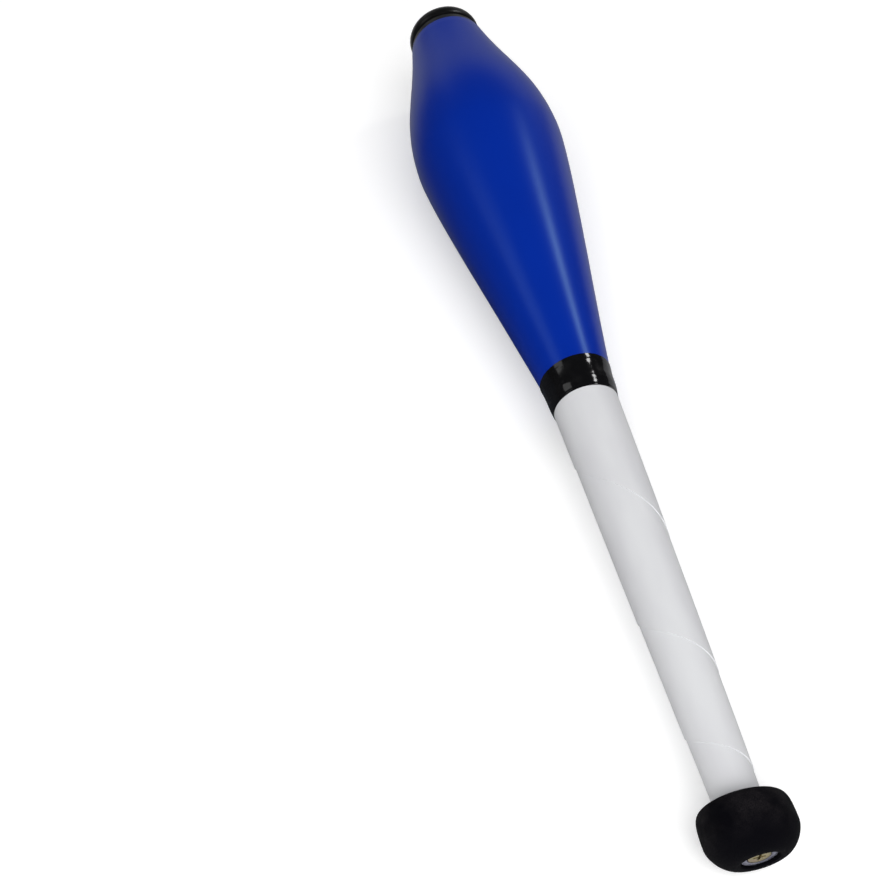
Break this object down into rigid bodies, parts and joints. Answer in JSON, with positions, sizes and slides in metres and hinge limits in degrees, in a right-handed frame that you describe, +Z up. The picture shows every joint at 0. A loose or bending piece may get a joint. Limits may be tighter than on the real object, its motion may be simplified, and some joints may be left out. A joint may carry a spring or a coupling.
{
  "type": "juggling club",
  "caption": "Juggling club lying on its side: hollow moulded body on a wooden dowel, film-wound tapered grip, taped neck, foam knob and rubber crown cap held by end screws.",
  "frame": {"origin": "on the ground, below the middle of the club as it lies on its belly and its knob", "axes": "+Z up, +Y level along the club towards its crown, +X across it"},
  "size_m": [0.0804, 0.5206, 0.0806],
  "materials": {
    "beech_wood": "turned and sanded bare hardwood",
    "black_foam_rubber": "matte velvety moulded foam rubber",
    "bright_zinc": "bright zinc-plated steel",
    "yellow_zinc": "yellow passivated zinc plate",
    "white_foam": "closed-cell foam",
    "white_film": "semi-matte wound plastic film",
    "grey_bush": "firm moulded foam",
    "black_tape": "glossy soft vinyl tape",
    "blue_polythene": "satin blow-moulded polythene, coloured through",
    "black_rubber": "semi-gloss moulded rubber"
  },
  "bodies": {
    "root": {"core_dowel": "beech_wood", "knob": "black_foam_rubber", "knob_washer": "bright_zinc", "knob_screw": "yellow_zinc", "handle_foam": "white_foam", "handle_wrap": "white_film", "neck_bush": "grey_bush", "tape_band": "black_tape", "body_shell": "blue_polythene", "crown_cap": "black_rubber", "crown_washer": "bright_zinc", "crown_screw": "yellow_zinc"}
  },
  "joints": []
}
